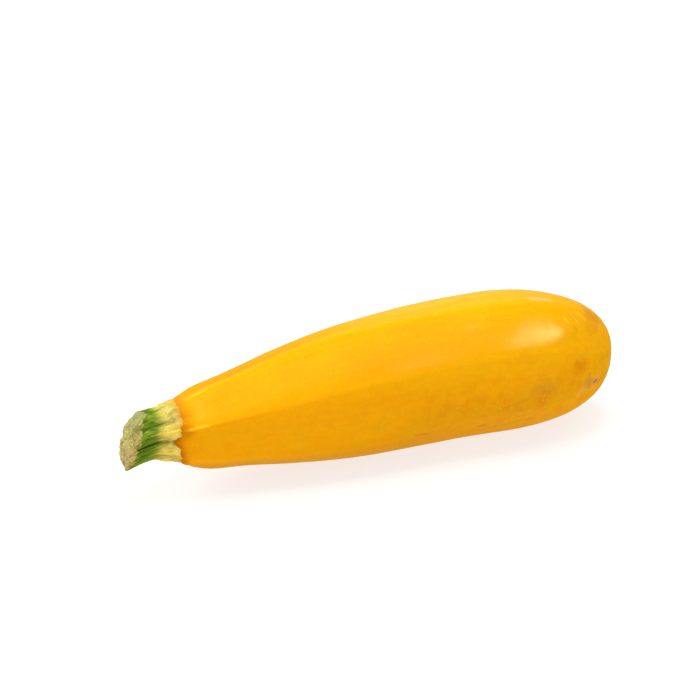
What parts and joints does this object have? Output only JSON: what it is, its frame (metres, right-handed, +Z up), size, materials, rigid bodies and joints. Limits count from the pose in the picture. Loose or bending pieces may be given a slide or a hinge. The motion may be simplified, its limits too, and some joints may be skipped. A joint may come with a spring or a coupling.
{
  "type": "zucchini",
  "caption": "Whole yellow zucchini, a long ridged fruit that thickens and bends towards its blossom end, with a short fluted stem, lying on its side.",
  "frame": {"origin": "on the surface the zucchini lies on, under the middle of its box", "axes": "+Z up, +X along the fruit from the cut stem to the blossom end, and the fruit bends in the horizontal plane with both ends towards -Y"},
  "size_m": [0.1872, 0.0538, 0.0521],
  "materials": {
    "skin": "smooth waxy skin, golden yellow to orange, soft gloss, faint pale dots, a few dull scuffs and brown marks",
    "stem": "fibrous, green near the cut and cream yellow at the foot, with a dry khaki cut face"
  },
  "bodies": {
    "root": {"fruit": "skin", "stem": "stem"}
  },
  "joints": []
}
